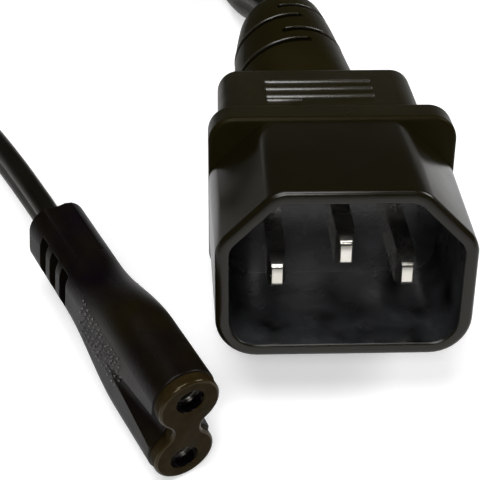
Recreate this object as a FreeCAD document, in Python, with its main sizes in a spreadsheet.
"""Power lead with a three-pin appliance plug on one end and a figure-eight connector on the other.

Both ends are moulded round hard inserts, and one flat two-core cord joins them.
Each end is drawn in a frame of its own: its mating face looks along -Y, its top is +Z and
its cord leaves along +Y. The connector's frame is the frame of the part, so the origin is
the middle of the connector's mating face.
"""
import FreeCAD, Part
import math
import os

import Sketcher
from FreeCAD import Placement, Rotation, Vector

doc = FreeCAD.newDocument("figure_eight_lead")

# Driving dimensions in millimetres and degrees
SIZES = {
    # Shell of the plug: the hard shroud round the three pins
    "cavity_width": 24.5,
    "cavity_height": 16.8,
    "cavity_chamfer": 5.2,
    "cavity_corner": 3.0,
    "cavity_depth": 16.0,
    "shell_wall": 1.45,
    "back_wall": 2.0,
    "rim_round": 0.35,
    "vertex_round": 0.9,
    "spigot_width": 20.5,
    "spigot_height": 10.0,
    "spigot_length": 4.0,
    # Pins
    "pin_thickness": 2.0,
    "pin_height": 4.0,
    "pin_spacing": 14.0,
    "live_pin_drop": 2.0,
    "earth_pin_rise": 2.0,
    "live_pin_recess": 3.7,
    "earth_pin_recess": 1.4,
    "pin_tip_length": 1.8,
    "pin_tip_thickness": 1.15,
    "pin_tip_height": 2.5,
    "pin_tail_gap": 1.2,
    # Grip of the plug
    "flange_width": 28.4,
    "flange_height": 20.4,
    "flange_length": 4.0,
    "flange_round": 3.0,
    "flange_edge_round": 0.5,
    "grip_width": 23.8,
    "grip_side_shift": 1.0,
    "grip_length": 12.0,
    "grip_round": 2.6,
    "grip_under_rise": 2.1,
    "line_width": 0.35,
    "line_height": 0.25,
    "line_length": 12.6,
    "line_pitch": 2.3,
    "first_line": 2.2,
    "short_line": 1.1,
    "short_line_length": 4.0,
    "grip_end_round": 1.2,
    "grip_sink": 0.1,
    # Strain relief of the plug
    "relief_length": 20.3,
    "relief_end_round": 2.0,
    "relief_across_0": -0.9,
    "relief_across_1": -2.0,
    "relief_across_2": -2.9,
    "relief_across_3": -3.5,
    "relief_across_4": -3.9,
    "relief_up_0": 0.8,
    "relief_up_1": 2.6,
    "relief_up_2": 4.4,
    "relief_up_3": 6.3,
    "relief_up_4": 8.1,
    "relief_radius_0": 8.0,
    "relief_radius_1": 7.9,
    "relief_radius_2": 7.6,
    "relief_radius_3": 6.9,
    "relief_radius_4": 5.7,
    "slot_width": 0.9,
    "slot_core": 4.8,
    "slot_opening": 68.0,
    "slot_turn": 55.0,
    # Wires inside both ends
    "core_diameter": 2.3,
    "conductor_diameter": 1.1,
    "strip_length": 2.5,
    "barrel_wall": 0.35,
    "barrel_length": 2.3,
    "plug_wire_run": 8.0,
    "relief_wire_run": 11.0,
    "contact_wire_run": 4.7,
    "rear_wire_run": 9.5,
    # Figure-eight connector
    "socket_spacing": 8.6,
    "socket_diameter": 3.1,
    "lobe_radius": 3.4,
    "lobe_spacing": 7.5,
    "waist_width": 3.3,
    "insert_front": 1.3,
    "insert_edge_round": 0.35,
    "insert_length": 8.0,
    "insert_step": 0.7,
    "contact_bore": 2.4,
    "contact_depth": 8.5,
    "contact_length": 9.5,
    "contact_recess": 1.5,
    "body_skin": 0.1,
    "front_flat": 0.15,
    "rear_bevel": 0.5,
    "front_length": 10.0,
    "nose_edge_round": 0.3,
    "taper_end": 23.0,
    "body_length": 34.0,
    "rear_width": 6.9,
    "rear_height": 8.4,
    "rear_round": 3.0,
    "valley_round": 1.5,
    "valley_length": 12.0,
    "valley_reach": 3.5,
    "valley_flare": 6.5,
    "grip_slot_width": 1.7,
    "grip_slot_depth": 1.1,
    "grip_slot_height": 5.4,
    "grip_slot_pitch": 2.8,
    "last_slot": 4.5,
    "dish_length": 9.5,
    "dish_round": 3.4,
    "dish_floor": 3.4,
    # Flat two-core cord
    "cord_width": 5.0,
    "cord_thickness": 2.6,
    "cord_lead": 6.0,
    "coil_radius": 27.5,
    "coil_band": 14.0,
    "coil_height": 10.6,
    "coil_round": 3.0,
    "coil_x": 31.0,
    "coil_y": 130.0,
    "tie_thickness": 0.9,
    "tie_width": 12.0,
    # How both ends lie on the table
    "connector_lean": 6.0,
    "plug_yaw": -27.5,
    "plug_nose_up": 15.0,
    "plug_x": 20.6,
    "plug_y": 3.45,
    "plug_z": 9.2,
    "floor_drop": 7.4,
}

sheet = doc.addObject("Spreadsheet::Sheet", "Sizes")
for row, (name, value) in enumerate(SIZES.items(), start=1):
    sheet.set(f"A{row}", name)
    sheet.set(f"B{row}", str(value))
    sheet.setAlias(f"B{row}", name)
doc.recompute()


class Size:
    """A length that is known both as a number and as a formula on the sheet."""

    def __init__(self, number, formula):
        self.number = number
        self.formula = formula

    def joined(self, sign, other, number):
        return Size(number, f"({self.formula} {sign} {as_size(other).formula})")

    def __add__(self, other):
        return self.joined("+", other, self.number + as_size(other).number)

    def __sub__(self, other):
        return self.joined("-", other, self.number - as_size(other).number)

    def __mul__(self, other):
        return self.joined("*", other, self.number * as_size(other).number)

    def __truediv__(self, other):
        return self.joined("/", other, self.number / as_size(other).number)

    def __neg__(self):
        return Size(-self.number, f"(0 - {self.formula})")


def as_size(value):
    return value if isinstance(value, Size) else Size(float(value), repr(float(value)))


def size(name):
    """The named dimension, read back from the sheet."""
    return Size(float(sheet.get(name)), f"Sizes.{name}")


# Frames of the two ends
def end_frame(name, base, rotation):
    frame = doc.addObject("Part::LocalCoordinateSystem", name)
    frame.Placement = Placement(base, rotation)
    return frame


yaw = Rotation(Vector(0, 0, 1), size("plug_yaw").number)
nose_up = Rotation(Vector(1, 0, 0), -size("plug_nose_up").number)
plug_base = Vector(size("plug_x").number, size("plug_y").number, size("plug_z").number)
plug_frame = end_frame("PlugFrame", plug_base, yaw.multiply(nose_up))
lean = Rotation(Vector(0, 1, 0), size("connector_lean").number)
connector_frame = end_frame("ConnectorFrame", Vector(0, 0, 0), lean)
coil_base = Vector(size("coil_x").number, size("coil_y").number, size("tie_thickness").number)
coil_frame = end_frame("CoilFrame", coil_base - Vector(0, 0, size("floor_drop").number), Rotation())


# How far a cut runs past the face that it has to clear
OVERCUT = 1.0


# Bodies and sketches
def new_body(label, frame):
    body = doc.addObject("PartDesign::Body", label)
    body.Label = label
    body.setExpression("Placement", f"{frame.Name}.Placement")
    return body


def origin_plane(body, role):
    return next(item for item in body.Origin.OriginFeatures if item.Role == role)


def new_sketch(body, name, depth=0.0, role="XZ_Plane"):
    """A sketch on an origin plane, moved back by depth along the plane's far side."""
    sketch = body.newObject("Sketcher::SketchObject", name)
    sketch.AttachmentSupport = [(origin_plane(body, role), "")]
    sketch.MapMode = "FlatFace"
    back = as_size(depth)
    sketch.AttachmentOffset = Placement(Vector(0, 0, -back.number), Rotation())
    if back.number:
        sketch.setExpression("AttachmentOffset.Base.z", f"0 - {back.formula}")
    return sketch


def pin_point(sketch, edge, position, across, up):
    """Hold one sketch point at a place given from the sketch's origin."""
    for kind, place in (("DistanceX", as_size(across)), ("DistanceY", as_size(up))):
        index = sketch.addConstraint(Sketcher.Constraint(kind, -1, 1, edge, position, place.number))
        sketch.setExpression(f"Constraints[{index}]", place.formula)


def polygon(sketch, corners):
    """A closed outline of straight edges through the corners."""
    places = [(as_size(across), as_size(up)) for across, up in corners]
    points = [Vector(across.number, up.number, 0) for across, up in places]
    count = len(points)
    for index in range(count):
        line = Part.LineSegment(points[index], points[(index + 1) % count])
        sketch.addGeometry(line, False)
    for index in range(count):
        following = (index + 1) % count
        sketch.addConstraint(Sketcher.Constraint("Coincident", index, 2, following, 1))
        pin_point(sketch, index, 1, *places[index])
    return sketch


def rectangle(sketch, width, height, across=0.0, up=0.0):
    half_width = as_size(width) / 2
    half_height = as_size(height) / 2
    middle = (as_size(across), as_size(up))
    corners = [
        (middle[0] - half_width, middle[1] - half_height),
        (middle[0] + half_width, middle[1] - half_height),
        (middle[0] + half_width, middle[1] + half_height),
        (middle[0] - half_width, middle[1] + half_height),
    ]
    return polygon(sketch, corners)


def rounded_rectangle(sketch, width, height, radius, across=0.0, up=0.0):
    """Four sides and four quarter circles, held by the centres and ends of the arcs."""
    radius = as_size(radius)
    reach_x = as_size(width) / 2 - radius
    reach_y = as_size(height) / 2 - radius
    middle = (as_size(across), as_size(up))
    signs = [(1, 1), (-1, 1), (-1, -1), (1, -1)]
    centres = [(middle[0] + reach_x * sx, middle[1] + reach_y * sy) for sx, sy in signs]
    for index, (x, y) in enumerate(centres):
        centre = Vector(x.number, y.number, 0)
        circle = Part.Circle(centre, Vector(0, 0, 1), radius.number)
        start = index * math.pi / 2
        sketch.addGeometry(Part.ArcOfCircle(circle, start, start + math.pi / 2), False)
    for index in range(4):
        arc = sketch.Geometry[index]
        following = sketch.Geometry[(index + 1) % 4]
        side = Part.LineSegment(arc.EndPoint, following.StartPoint)
        sketch.addGeometry(side, False)
    for index, (x, y) in enumerate(centres):
        pin_point(sketch, index, 3, x, y)
        sketch.addConstraint(Sketcher.Constraint("Tangent", index, 2, index + 4, 1))
        sketch.addConstraint(Sketcher.Constraint("Tangent", index + 4, 2, (index + 1) % 4, 1))
    round_index = sketch.addConstraint(Sketcher.Constraint("Radius", 0, radius.number))
    sketch.setExpression(f"Constraints[{round_index}]", radius.formula)
    return sketch


def circle(sketch, radius, across=0.0, up=0.0):
    radius = as_size(radius)
    across = as_size(across)
    up = as_size(up)
    centre = Vector(across.number, up.number, 0)
    edge = sketch.addGeometry(Part.Circle(centre, Vector(0, 0, 1), radius.number), False)
    index = sketch.addConstraint(Sketcher.Constraint("Radius", edge, radius.number))
    sketch.setExpression(f"Constraints[{index}]", radius.formula)
    pin_point(sketch, edge, 3, across, up)
    return sketch


def figure_eight(sketch, lobe_radius, lobe_centre, half_waist):
    """Two lobes joined by hollow arcs that touch both lobes and leave the waist between them."""
    hollow = half_waist * half_waist + lobe_centre * lobe_centre - lobe_radius * lobe_radius
    hollow = hollow / ((lobe_radius - half_waist) * 2)
    side = half_waist + hollow
    turn = math.atan2(lobe_centre.number, side.number)
    axis = Vector(0, 0, 1)
    lobes = [
        (Vector(0, lobe_centre.number, 0), lobe_radius.number, -turn, math.pi + turn),
        (Vector(-side.number, 0, 0), hollow.number, -turn, turn),
        (Vector(0, -lobe_centre.number, 0), lobe_radius.number, math.pi - turn, 2 * math.pi + turn),
        (Vector(side.number, 0, 0), hollow.number, math.pi - turn, math.pi + turn),
    ]
    for centre, radius, start, end in lobes:
        sketch.addGeometry(Part.ArcOfCircle(Part.Circle(centre, axis, radius), start, end), False)
    pin_point(sketch, 0, 3, 0.0, lobe_centre)
    pin_point(sketch, 1, 3, -side, 0.0)
    pin_point(sketch, 2, 3, 0.0, -lobe_centre)
    last = sketch.addConstraint(Sketcher.Constraint("DistanceX", -1, 1, 3, 3, side.number))
    sketch.setExpression(f"Constraints[{last}]", side.formula)
    joints = [(0, 2, 1, 2), (1, 1, 2, 1), (2, 2, 3, 2), (3, 1, 0, 1)]
    for first, first_end, second, second_end in joints:
        sketch.addConstraint(Sketcher.Constraint("Tangent", first, first_end, second, second_end))
    index = sketch.addConstraint(Sketcher.Constraint("Radius", 0, lobe_radius.number))
    sketch.setExpression(f"Constraints[{index}]", lobe_radius.formula)
    return sketch


# Features
def finish(feature):
    """Compute a new feature and make sure that it has a sound shape."""
    doc.recompute()
    failed = "Invalid" in feature.State or "Error" in feature.State
    if failed or feature.Shape.isNull() or not feature.Shape.isValid():
        raise ValueError(f"{feature.Name} failed: {feature.State}")
    return feature


def pad(body, sketch, length, name, forward=False):
    """Material from the sketch towards the cord's side, or towards the mating side if forward."""
    feature = body.newObject("PartDesign::Pad", name)
    feature.Profile = sketch
    feature.Length = as_size(length).number
    feature.setExpression("Length", as_size(length).formula)
    feature.Reversed = not forward
    return finish(feature)


def pocket(body, sketch, length, name, both_ways=False):
    """A cut from the sketch towards the cord's side, which has to take material away."""
    before = body.Shape.Volume
    feature = body.newObject("PartDesign::Pocket", name)
    feature.Profile = sketch
    feature.Length = as_size(length).number
    feature.setExpression("Length", as_size(length).formula)
    feature.Midplane = both_ways
    finish(feature)
    if body.Shape.Volume > before - 1e-4:
        raise ValueError(f"{name} cuts nothing")
    return feature


def loft(body, sketches, name, ruled=False):
    feature = body.newObject("PartDesign::AdditiveLoft", name)
    feature.Profile = sketches[0]
    feature.Sections = sketches[1:]
    feature.Ruled = ruled
    return finish(feature)


def fillet(body, edges, radius, name):
    """Round the edges of the body's present shape that the test picks out."""
    rounded = body.Tip
    numbered = enumerate(rounded.Shape.Edges, start=1)
    chosen = [f"Edge{index}" for index, edge in numbered if edges(edge)]
    if not chosen:
        raise ValueError(f"{name} finds no edge")
    feature = body.newObject("PartDesign::Fillet", name)
    feature.Base = (rounded, chosen)
    feature.Radius = as_size(radius).number
    feature.setExpression("Radius", as_size(radius).formula)
    return finish(feature)


def notch(sketch, bottom, reach, flare, sign):
    """A groove that opens to one side, with its round bottom about the sketch's origin."""
    far = Vector(reach.number * sign, flare.number, 0)
    touch_angle = math.atan2(flare.number, reach.number) + math.acos(bottom.number / far.Length)
    if sign > 0:
        span = (touch_angle, 2 * math.pi - touch_angle)
    else:
        span = (touch_angle - math.pi, math.pi - touch_angle)
    arc = Part.ArcOfCircle(Part.Circle(Vector(0, 0, 0), Vector(0, 0, 1), bottom.number), *span)
    upper, lower = (1, 2) if sign > 0 else (2, 1)
    touch = Vector(math.cos(touch_angle) * bottom.number * sign, math.sin(touch_angle) * bottom.number, 0)
    corners = [touch, far, Vector(far.x, -far.y, 0), Vector(touch.x, -touch.y, 0)]
    sketch.addGeometry(arc, False)
    for first, second in zip(corners, corners[1:]):
        sketch.addGeometry(Part.LineSegment(first, second), False)
    sketch.addConstraint(Sketcher.Constraint("Coincident", 0, 3, -1, 1))
    sketch.addConstraint(Sketcher.Constraint("Coincident", 1, 2, 2, 1))
    sketch.addConstraint(Sketcher.Constraint("Coincident", 2, 2, 3, 1))
    sketch.addConstraint(Sketcher.Constraint("Tangent", 0, upper, 1, 1))
    sketch.addConstraint(Sketcher.Constraint("Tangent", 3, 2, 0, lower))
    index = sketch.addConstraint(Sketcher.Constraint("Radius", 0, bottom.number))
    sketch.setExpression(f"Constraints[{index}]", bottom.formula)
    pin_point(sketch, 2, 1, reach * sign, flare)
    pin_point(sketch, 2, 2, reach * sign, -flare)
    return sketch


def runs_back(edge):
    """True for a straight edge along Y."""
    if len(edge.Vertexes) != 2:
        return False
    along = edge.Vertexes[1].Point - edge.Vertexes[0].Point
    return abs(along.x) < 1e-6 and abs(along.z) < 1e-6


def at_depth(edge, depth):
    return all(abs(vertex.Point.y - depth) < 1e-6 for vertex in edge.Vertexes)


# Plug shell: hard shroud with a six-cornered cavity, a back wall and a spigot
shell_width = size("cavity_width") + size("shell_wall") * 2
shell_height = size("cavity_height") + size("shell_wall") * 2
shell_chamfer = size("cavity_chamfer") + size("shell_wall") * (2 - math.sqrt(2))
shell_length = size("cavity_depth") + size("back_wall")


def keyed_outline(sketch, width, height, chamfer):
    """A rectangle whose two upper corners are cut off at 45 degrees."""
    half_width = width / 2
    half_height = height / 2
    corners = [
        (-half_width, -half_height),
        (half_width, -half_height),
        (half_width, half_height - chamfer),
        (half_width - chamfer, half_height),
        (chamfer - half_width, half_height),
        (-half_width, half_height - chamfer),
    ]
    return polygon(sketch, corners)


def pin_places():
    """Across and up from the middle of the plug, for each pin."""
    half = size("pin_spacing") / 2
    return {
        "line_pin": (-half, -size("live_pin_drop")),
        "neutral_pin": (half, -size("live_pin_drop")),
        "earth_pin": (as_size(0.0), size("earth_pin_rise")),
    }


def build_shell():
    body = new_body("plug_shell", plug_frame)
    outline = keyed_outline(new_sketch(body, "ShellOutline"), shell_width, shell_height, shell_chamfer)
    pad(body, outline, shell_length, "Shroud")
    lower = -shell_height.number / 2
    upper = shell_height.number / 2
    corner = size("cavity_corner") + size("shell_wall")
    fillet(body, lambda e: runs_back(e) and e.Vertexes[0].Z < lower + 0.01, corner, "LowerCorners")
    fillet(
        body,
        lambda e: runs_back(e) and e.Vertexes[0].Z > upper - shell_chamfer.number - 0.01,
        size("vertex_round"),
        "UpperCorners",
    )
    spigot = new_sketch(body, "SpigotOutline", shell_length)
    rectangle(spigot, size("spigot_width"), size("spigot_height"))
    pad(body, spigot, size("spigot_length"), "Spigot")
    cavity = new_sketch(body, "CavityOutline")
    keyed_outline(cavity, size("cavity_width"), size("cavity_height"), size("cavity_chamfer"))
    pocket(body, cavity, size("cavity_depth"), "Cavity")
    floor = -size("cavity_height").number / 2
    half = size("cavity_width").number / 2
    fillet(
        body,
        lambda e: runs_back(e)
        and abs(e.Vertexes[0].Z - floor) < 0.01
        and abs(abs(e.Vertexes[0].X) - half) < 0.01,
        size("cavity_corner"),
        "CavityCorners",
    )
    fillet(body, lambda e: at_depth(e, 0.0), size("rim_round"), "Rim")
    for name, (across, up) in pin_places().items():
        slot = new_sketch(body, f"{name}_slot", size("cavity_depth") - OVERCUT)
        rectangle(slot, size("pin_thickness"), size("pin_height"), across, up)
        reach = shell_length + size("spigot_length") - size("cavity_depth") + OVERCUT * 2
        pocket(body, slot, reach, f"{name}_passage")
    return body


# Pins: flat blades with four-sided tips, and a crimp barrel on the two live ones
tail_depth = shell_length + size("spigot_length")
barrel_radius = size("conductor_diameter") / 2 + size("barrel_wall")


def build_pin(name, recess, has_barrel):
    across, up = pin_places()[name]
    body = new_body(name, plug_frame)
    tip = new_sketch(body, f"{name}_tip", recess)
    rectangle(tip, size("pin_tip_thickness"), size("pin_tip_height"), across, up)
    shoulder = new_sketch(body, f"{name}_shoulder", recess + size("pin_tip_length"))
    rectangle(shoulder, size("pin_thickness"), size("pin_height"), across, up)
    loft(body, [tip, shoulder], f"{name}_taper", ruled=True)
    blade = new_sketch(body, f"{name}_blade", recess + size("pin_tip_length"))
    rectangle(blade, size("pin_thickness"), size("pin_height"), across, up)
    blade_length = tail_depth + size("pin_tail_gap") - recess - size("pin_tip_length")
    pad(body, blade, blade_length, f"{name}_shank")
    if has_barrel:
        barrel = new_sketch(body, f"{name}_barrel", tail_depth + size("pin_tail_gap"))
        circle(barrel, barrel_radius, across, up)
        circle(barrel, size("conductor_diameter") / 2, across, up)
        pad(body, barrel, size("barrel_length"), f"{name}_crimp")
    return body


# Grip of the plug: flange, finger grip and slotted strain relief in one moulding
grip_start = shell_length + size("flange_length")
grip_end = grip_start + size("grip_length")
grip_top = size("flange_height") / 2 - size("grip_sink")

# Sections of the strain relief: share of its length, turn to the left and rise. The sheet has
# the middle across and up and the radius of each
RELIEF_TURNS = [
    (0.00, 0.0, 0.0),
    (0.25, 9.0, 14.0),
    (0.50, 9.0, 18.0),
    (0.75, 11.0, 15.0),
    (1.00, 16.0, 6.0),
]


def relief_row(index):
    """Share, middle across and up, radius, turn and rise of one section."""
    share, turn, rise = RELIEF_TURNS[index]
    lengths = [size(f"relief_{name}_{index}").number for name in ("across", "up", "radius")]
    return (share, *lengths, turn, rise)


RELIEF = [relief_row(index) for index in range(len(RELIEF_TURNS))]

# Place of each slot as a share of the relief's length, and the side that it opens on
SLOTS = [(0.45, -1), (0.56, 1), (0.70, -1), (0.81, 1)]


def relief_section(share):
    """Middle, radius and direction of the relief at a share of its length."""
    after = next(index for index in range(1, len(RELIEF)) if share <= RELIEF[index][0])
    first = RELIEF[after - 1]
    second = RELIEF[after]
    part = (share - first[0]) / (second[0] - first[0])
    return [a + (b - a) * part for a, b in zip(first[1:], second[1:])]


def relief_sketch(body, name, share):
    """A sketch square to the relief, with its middle on the relief's own line."""
    across, up, radius, turn, rise = relief_section(share)
    sketch = new_sketch(body, name)
    tilt = Rotation(Vector(0, 1, 0), turn).multiply(Rotation(Vector(1, 0, 0), rise))
    depth = grip_end + size("relief_length") * share
    sketch.AttachmentOffset = Placement(Vector(across, up, -depth.number), tilt)
    sketch.setExpression("AttachmentOffset.Base.z", f"0 - {depth.formula}")
    return sketch, radius


def build_grip():
    body = new_body("plug_grip_moulding", plug_frame)
    flange = new_sketch(body, "FlangeOutline", shell_length)
    rounded_rectangle(flange, size("flange_width"), size("flange_height"), size("flange_round"))
    pad(body, flange, size("flange_length"), "Flange")
    flange_ends = (shell_length.number, grip_start.number)
    fillet(body, lambda e: at_depth(e, flange_ends[0]), size("flange_edge_round"), "FlangeFront")
    fillet(body, lambda e: at_depth(e, flange_ends[1]), size("flange_edge_round"), "FlangeRear")
    shift = -size("grip_side_shift")
    grip_height = grip_top * 2
    rear_height = grip_height - size("grip_under_rise")
    front = new_sketch(body, "GripFront", grip_start)
    rounded_rectangle(front, size("grip_width"), grip_height, size("grip_round"), shift)
    rear = new_sketch(body, "GripRear", grip_end)
    middle = size("grip_under_rise") / 2
    rounded_rectangle(rear, size("grip_width"), rear_height, size("grip_round"), shift, middle)
    loft(body, [front, rear], "Grip")
    fillet(body, lambda e: at_depth(e, grip_end.number), size("grip_end_round"), "GripEnd")
    sections = []
    for index, section in enumerate(RELIEF):
        sketch, radius = relief_sketch(body, f"ReliefSection{index}", section[0])
        circle(sketch, radius)
        sections.append(sketch)
    loft(body, sections, "StrainRelief")
    last = relief_end_point().y
    fillet(body, lambda e: on_relief_end(e, last), size("relief_end_round"), "ReliefEnd")
    for index, (share, side) in enumerate(SLOTS):
        sketch, radius = relief_sketch(body, f"ReliefSlot{index}", share)
        middle_angle = math.pi / 2 - side * math.radians(size("slot_turn").number)
        half_opening = math.radians(size("slot_opening").number)
        start = middle_angle - half_opening
        ring_sector(sketch, size("slot_core"), radius + OVERCUT, start, middle_angle + half_opening)
        pocket(body, sketch, size("slot_width"), f"ReliefCut{index}", both_ways=True)
    lines = [(size("first_line") + size("line_pitch") * index, size("line_length")) for index in range(3)]
    lines.append((size("short_line"), size("short_line_length")))
    for index, (distance, length) in enumerate(lines):
        line = new_sketch(body, f"TopLine{index}", grip_start + distance)
        middle = shift - (size("line_length") - length) / 2
        rectangle(line, length, size("line_height") * 2, middle, grip_top)
        pad(body, line, size("line_width"), f"TopRib{index}")
    return body


def relief_end_point():
    """Middle of the relief's end in the plug's frame."""
    across, up = relief_section(1.0)[:2]
    return Vector(across, (grip_end + size("relief_length")).number, up)


def on_relief_end(edge, depth):
    """True for the closed edge round the end of the relief."""
    box = edge.BoundBox
    reach = RELIEF[-1][3]
    return edge.isClosed() and box.YMin > depth - reach and box.YMax > depth


def ring_sector(sketch, inner, outer, start, end):
    """Part of a ring between two radii, with the middle at the sketch's origin."""
    axis = Vector(0, 0, 1)
    centre = Vector(0, 0, 0)
    inner = as_size(inner)
    outer = as_size(outer)
    for radius in (outer.number, inner.number):
        arc = Part.ArcOfCircle(Part.Circle(centre, axis, radius), start, end)
        sketch.addGeometry(arc, False)
    big, small = sketch.Geometry[0], sketch.Geometry[1]
    sketch.addGeometry(Part.LineSegment(big.EndPoint, small.EndPoint), False)
    sketch.addGeometry(Part.LineSegment(small.StartPoint, big.StartPoint), False)
    joints = [(0, 3, -1, 1), (1, 3, -1, 1), (0, 2, 2, 1), (2, 2, 1, 2), (1, 1, 3, 1), (3, 2, 0, 1)]
    for first, first_end, second, second_end in joints:
        joint = Sketcher.Constraint("Coincident", first, first_end, second, second_end)
        sketch.addConstraint(joint)
    for edge, radius in ((0, outer), (1, inner)):
        index = sketch.addConstraint(Sketcher.Constraint("Radius", edge, radius.number))
        sketch.setExpression(f"Constraints[{index}]", radius.formula)
    return sketch


# Tubes: straight runs joined by tangent arcs, each taking this part of its shorter run
ARC_SHARE = 0.45


def rounded_route(points, label="", skipped=0.0):
    """A wire through the route, each turn an arc as wide as its shorter run allows."""
    edges = []
    radii = []
    start = points[0] + (points[1] - points[0]).normalize() * skipped
    for before, corner, after in zip(points, points[1:], points[2:]):
        arriving = (corner - before).normalize()
        leaving = (after - corner).normalize()
        half_turn = arriving.getAngle(leaving) / 2
        shorter = min(before.distanceToPoint(corner), corner.distanceToPoint(after))
        trim = ARC_SHARE * shorter
        radius = trim / math.tan(half_turn)
        radii.append(round(radius, 1))
        arc_start = corner - arriving * trim
        arc_end = corner + leaving * trim
        inward = (leaving - arriving).normalize()
        depth = radius / math.cos(half_turn) - radius
        edges.append(Part.LineSegment(start, arc_start).toShape())
        edges.append(Part.Arc(arc_start, corner + inward * depth, arc_end).toShape())
        start = arc_end
    edges.append(Part.LineSegment(start, points[-1]).toShape())
    if label:
        print(f"{label} radii: {radii}")
    return Part.Wire(edges)


def round_tube(points, radius, skipped=0.0):
    """A round bar along the route, without its first stretch."""
    path = rounded_route(points, skipped=skipped)
    along = (points[1] - points[0]).normalize()
    ring = Part.Wire(Part.Circle(points[0] + along * skipped, along, radius).toShape())
    bar = path.makePipeShell([ring], True, False)
    check_tube(bar, math.pi * radius * radius * path.Length)
    return bar


def flat_tube(points, width, thickness, label):
    """A bar with round edges along the route, with its wide side kept upright."""
    path = rounded_route(points, label)
    along = (points[1] - points[0]).normalize()
    up = Vector(0, 0, 1)
    side = along.cross(up).normalize()
    reach = (width - thickness) / 2
    half = thickness / 2
    signs = [(1, -1), (1, 1), (-1, 1), (-1, -1)]
    corners = [points[0] + side * (half * s) + up * (reach * u) for s, u in signs]
    top = points[0] + up * (reach + half)
    bottom = points[0] - up * (reach + half)
    section = Part.Wire(
        [
            Part.LineSegment(corners[0], corners[1]).toShape(),
            Part.Arc(corners[1], top, corners[2]).toShape(),
            Part.LineSegment(corners[2], corners[3]).toShape(),
            Part.Arc(corners[3], bottom, corners[0]).toShape(),
        ]
    )
    sweep = Part.BRepOffsetAPI.MakePipeShell(path)
    sweep.setBiNormalMode(Vector(0, 0, 1))
    sweep.add(section, False, False)
    sweep.build()
    sweep.makeSolid()
    bar = sweep.shape()
    level = [Vector(point.x, point.y, 0) for point in path.discretize(Distance=0.5)]
    level_length = sum(a.distanceToPoint(b) for a, b in zip(level, level[1:]))
    check_tube(bar, (thickness * (width - thickness) + math.pi * half * half) * level_length)
    return bar


def check_tube(bar, expected):
    """A sound tube has the volume of its section times the length that it covers."""
    if not bar.isValid() or abs(bar.Volume - expected) > 0.02 * expected:
        raise ValueError(f"tube volume {bar.Volume:.1f} instead of {expected:.1f}")


def shaped_part(name, shape, frame=None):
    """A part whose shape is made from the sheet's sizes without a sketch."""
    part = doc.addObject("Part::Feature", name)
    part.Shape = shape
    if frame:
        part.Placement = frame.Placement
    return part


# Wires inside the two ends
core_radius = size("core_diameter").number / 2
conductor_radius = size("conductor_diameter").number / 2
core_gap = size("cord_width").number / 2 - size("cord_thickness").number / 2


def wire_parts(prefix, route, frame):
    """A conductor along the route, and its insulation from the stripped end onwards."""
    conductor = round_tube(route, conductor_radius)
    sleeve = round_tube(route, core_radius, size("strip_length").number).cut(conductor)
    return (
        shaped_part(f"{prefix}_core", sleeve, frame),
        shaped_part(f"{prefix}_conductor", conductor, frame),
    )


# Figure-eight connector: hard insert with two sockets, and the contacts in it
half_waist = size("waist_width") / 2
lobe_centre = size("lobe_spacing") / 2
socket_reach = size("socket_spacing") / 2


def build_insert():
    body = new_body("connector_insert", connector_frame)
    front = new_sketch(body, "InsertFront")
    figure_eight(front, size("lobe_radius"), lobe_centre, half_waist)
    pad(body, front, size("insert_front"), "InsertNose")
    fillet(body, lambda e: at_depth(e, 0.0), size("insert_edge_round"), "FaceEdge")
    rear = new_sketch(body, "InsertRear", size("insert_front"))
    step = size("insert_step")
    figure_eight(rear, size("lobe_radius") - step, lobe_centre, half_waist - step / 2)
    pad(body, rear, size("insert_length") - size("insert_front"), "InsertBody")
    holes = new_sketch(body, "SocketHoles")
    circle(holes, size("socket_diameter") / 2, 0.0, socket_reach)
    circle(holes, size("socket_diameter") / 2, 0.0, -socket_reach)
    pocket(body, holes, size("insert_length") + OVERCUT, "Sockets")
    return body


def build_contact(name, up):
    """A turned sleeve with a closed back and a crimp barrel behind it."""
    body = new_body(name, connector_frame)
    sleeve = new_sketch(body, f"{name}_sleeve", size("contact_recess"))
    circle(sleeve, size("socket_diameter") / 2, 0.0, up)
    pad(body, sleeve, size("contact_length"), f"{name}_shank")
    bore = new_sketch(body, f"{name}_bore", size("contact_recess"))
    circle(bore, size("contact_bore") / 2, 0.0, up)
    pocket(body, bore, size("contact_depth"), f"{name}_socket")
    barrel = new_sketch(body, f"{name}_barrel", size("contact_recess") + size("contact_length"))
    circle(barrel, barrel_radius, 0.0, up)
    circle(barrel, size("conductor_diameter") / 2, 0.0, up)
    pad(body, barrel, size("barrel_length"), f"{name}_crimp")
    return body


# Overmould of the connector: grip body with valleys, side slots and a dish on each narrow side
TAPER_STEPS = 4


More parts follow.
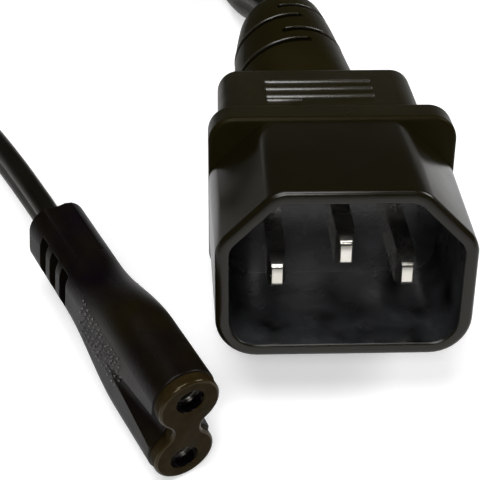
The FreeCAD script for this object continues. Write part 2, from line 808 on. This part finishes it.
def build_connector_moulding():
    body = new_body("connector_moulding", connector_frame)
    skin = size("body_skin")
    radius = size("lobe_radius") + skin
    height = size("lobe_spacing") + radius * 2
    corner = radius - size("front_flat")
    front = new_sketch(body, "BodyFront", size("insert_front"))
    rounded_rectangle(front, radius * 2, height, corner)
    pad(body, front, size("front_length") - size("insert_front"), "Nose")
    fillet(body, lambda e: at_depth(e, size("insert_front").number), size("nose_edge_round"), "NoseEdge")
    taper = []
    for index in range(TAPER_STEPS + 1):
        share = (1 - math.cos(math.pi * index / TAPER_STEPS)) / 2
        depth = size("front_length") + (size("taper_end") - size("front_length")) * (index / TAPER_STEPS)
        step = new_sketch(body, f"BodyTaper{index}", depth)
        width = radius * 2 + (size("rear_width") - radius * 2) * share
        step_height = height + (size("rear_height") - height) * share
        rounded_rectangle(step, width, step_height, corner + (size("rear_round") - corner) * share)
        taper.append(step)
    loft(body, taper, "Taper")
    bevel = size("rear_bevel")
    bevel_start = size("body_length") - bevel
    grip = new_sketch(body, "BodyGrip", size("taper_end"))
    rounded_rectangle(grip, size("rear_width"), size("rear_height"), size("rear_round"))
    pad(body, grip, bevel_start - size("taper_end"), "Grip")
    rear_outlines = []
    for index, shrink in enumerate((as_size(0.0), bevel)):
        rear = new_sketch(body, f"BodyRear{index}", bevel_start + shrink)
        rear_width = size("rear_width") - shrink * 2
        rear_height = size("rear_height") - shrink * 2
        rounded_rectangle(rear, rear_width, rear_height, size("rear_round") - shrink)
        rear_outlines.append(rear)
    loft(body, rear_outlines, "RearBevel", ruled=True)
    start = size("insert_front") - OVERCUT / 2
    deep = half_waist + skin + size("valley_round")
    shallow = radius + size("valley_round") + skin
    run = size("valley_length") - start
    slant = math.degrees(math.atan2((shallow - deep).number, run.number))
    for side, sign in (("Right", 1), ("Left", -1)):
        valley = new_sketch(body, f"{side}ValleyOutline")
        spot = Vector(deep.number * sign, 0, -start.number)
        valley.AttachmentOffset = Placement(spot, Rotation(Vector(0, 1, 0), -slant * sign))
        valley.setExpression("AttachmentOffset.Base.x", (deep * sign).formula)
        valley.setExpression("AttachmentOffset.Base.z", (-start).formula)
        notch(valley, size("valley_round"), size("valley_reach"), size("valley_flare"), sign)
        pocket(body, valley, run + size("valley_round"), f"{side}Valley")
        for index in range(3):
            from_end = size("last_slot") + size("grip_slot_pitch") * index + size("grip_slot_width") / 2
            depth = size("body_length") - from_end
            slot = new_sketch(body, f"{side}GripSlot{index}", depth)
            reach = size("rear_width") / 2 - size("grip_slot_depth")
            rectangle(slot, OVERCUT * 2, size("grip_slot_height"), (reach + OVERCUT) * sign, 0.0)
            pocket(body, slot, size("grip_slot_width"), f"{side}GripCut{index}")
    for side, sign in (("Top", 1), ("Bottom", -1)):
        dish = new_sketch(body, f"{side}DishOutline", size("body_length") - size("dish_length"))
        circle(dish, size("dish_round"), 0.0, (size("dish_floor") + size("dish_round")) * sign)
        pocket(body, dish, size("body_length"), f"{side}Dish")
    wells = new_sketch(body, "ContactWells")
    circle(wells, size("socket_diameter") / 2, 0.0, socket_reach)
    circle(wells, size("socket_diameter") / 2, 0.0, -socket_reach)
    pocket(body, wells, size("contact_recess") + size("contact_length"), "Wells")
    return body


# Coil of the spare cord and the tie round it
def coil_outline(sketch, spread):
    """Section of the coil at its middle radius, widened all round by the spread."""
    width = size("coil_band") + spread * 2
    height = size("coil_height") + spread * 2
    corner = size("coil_round") + spread
    rounded_rectangle(sketch, width, height, corner, size("coil_radius"), size("coil_height") / 2)


def build_ring(name, spreads, angle):
    """The coil's section turned about the coil's middle, by the angle in degrees."""
    body = new_body(name, coil_frame)
    for index, spread in enumerate(spreads):
        sketch = new_sketch(body, f"{name}_section{index}", role="YZ_Plane")
        coil_outline(sketch, as_size(spread))
        kind = "PartDesign::Groove" if index else "PartDesign::Revolution"
        turned = body.newObject(kind, f"{name}_turn{index}")
        turned.Profile = sketch
        turned.ReferenceAxis = (sketch, ["V_Axis"])
        turned.Midplane = True
        turned.Angle = 360.0 if index else as_size(angle).number
        if isinstance(angle, Size) and not index:
            turned.setExpression("Angle", angle.formula)
        finish(turned)
    return body


shell = build_shell()
line_pin = build_pin("line_pin", size("live_pin_recess"), True)
neutral_pin = build_pin("neutral_pin", size("live_pin_recess"), True)
earth_pin = build_pin("earth_pin", size("earth_pin_recess"), False)
grip_moulding = build_grip()

# Wires of the plug run from the crimp barrels up to the end of the relief, one above the other
relief_end = relief_end_point()
turn, rise = (math.radians(angle) for angle in relief_section(1.0)[3:])
relief_along = Vector(-math.sin(turn) * math.cos(rise), math.cos(turn) * math.cos(rise), math.sin(rise))
relief_up = plug_frame.Placement.Rotation.inverted().multVec(Vector(0, 0, 1))
relief_up = (relief_up - relief_along * relief_up.dot(relief_along)).normalize()
wire_start = tail_depth + size("pin_tail_gap")
plug_wires = {}
for name, pin, offset in (("line", "line_pin", core_gap), ("neutral", "neutral_pin", -core_gap)):
    across, up = pin_places()[pin]
    end = relief_end + relief_up * offset
    route = [
        Vector(across.number, wire_start.number, up.number),
        Vector(across.number, (wire_start + size("plug_wire_run")).number, up.number),
        end - relief_along * size("relief_wire_run").number,
        end,
    ]
    plug_wires[name] = wire_parts(f"plug_{name}", route, plug_frame)

# Wires of the connector run from the crimp barrels to its rear end
insert = build_insert()
line_contact = build_contact("line_contact", socket_reach)
neutral_contact = build_contact("neutral_contact", -socket_reach)
connector_moulding = build_connector_moulding()
contact_back = size("contact_recess") + size("contact_length")
connector_wires = {}
for name, sign in (("line", 1.0), ("neutral", -1.0)):
    high = socket_reach.number * sign
    low = core_gap * sign
    rear = size("body_length").number
    route = [
        Vector(0, contact_back.number, high),
        Vector(0, (contact_back + size("contact_wire_run")).number, high),
        Vector(0, rear - size("rear_wire_run").number, low),
        Vector(0, rear, low),
    ]
    connector_wires[name] = wire_parts(f"connector_{name}", route, connector_frame)

# Coil and tie
coil = build_ring("cord_coil", [0.0], 360.0)
tie_angle = size("tie_width") / size("coil_radius") * (180.0 / math.pi)
tie = build_ring("coil_tie", [size("tie_thickness"), 0.0], tie_angle)

# Cord from the plug to the coil and from the coil to the connector, resting on the table
floor = -size("floor_drop").number
cord_width = size("cord_width").number
low = floor + cord_width / 2
plug_exit = plug_frame.Placement.multVec(relief_end)
plug_direction = plug_frame.Placement.Rotation.multVec(relief_along)
plug_side_route = [
    plug_exit,
    plug_exit + plug_direction * size("cord_lead").number,
    Vector(45.5, 72.0, low + 1.8),
    Vector(49.5, 84.0, low),
    Vector(55.0, 97.0, low),
    Vector(58.0, 110.0, low + 1.2),
    Vector(58.5, 122.5, low + 1.8),
]
connector_side_route = [
    Vector(3.5, 121.0, low + 1.8),
    Vector(2.8, 107.0, low + 1.4),
    Vector(0.8, 88.0, low),
    Vector(0.0, 68.0, low),
    Vector(0.0, 46.0, 0.0),
    Vector(0.0, rear, 0.0),
]
thickness = size("cord_thickness").number
plug_side = flat_tube(plug_side_route, cord_width, thickness, "plug side").cut(coil.Shape)
connector_side = flat_tube(connector_side_route, cord_width, thickness, "connector side").cut(coil.Shape)
cord_plug_side = shaped_part("cord_plug_side", plug_side)
cord_connector_side = shaped_part("cord_connector_side", connector_side)


# Each moulding is cut by everything that it encloses
def moulded_round(name, moulding, inner):
    joined = doc.addObject("Part::MultiFuse", f"{name}_hollow")
    joined.Shapes = inner
    joined.Refine = False
    cut = doc.addObject("Part::Cut", name)
    cut.Refine = False
    cut.Base = moulding
    cut.Tool = joined
    return finish(cut)


plug_inner = [shell, line_pin, neutral_pin, earth_pin, *plug_wires["line"], *plug_wires["neutral"]]
plug_grip = moulded_round("plug_grip", grip_moulding, plug_inner)
connector_inner = [insert, line_contact, neutral_contact]
connector_inner += [*connector_wires["line"], *connector_wires["neutral"]]
connector_body = moulded_round("connector_body", connector_moulding, connector_inner)

parts = [plug_grip, *plug_inner, connector_body, *connector_inner]
parts += [cord_plug_side, coil, cord_connector_side, tie]
doc.recompute()
for item in doc.Objects:
    if "Invalid" in item.State or "Error" in item.State:
        raise ValueError(f"{item.Name} is in state {item.State}")
for item in parts:
    if item.Shape.isNull() or not item.Shape.isValid():
        raise ValueError(f"{item.Name} has no sound shape")
    box = item.Shape.BoundBox
    print(f"{item.Name}: {item.Shape.Volume:.1f} mm3, {len(item.Shape.Solids)} solid, lowest {box.ZMin:.2f}")
os.makedirs("parts", exist_ok=True)
for item in parts:
    item.Shape.exportStep(f"parts/{item.Name}.step")
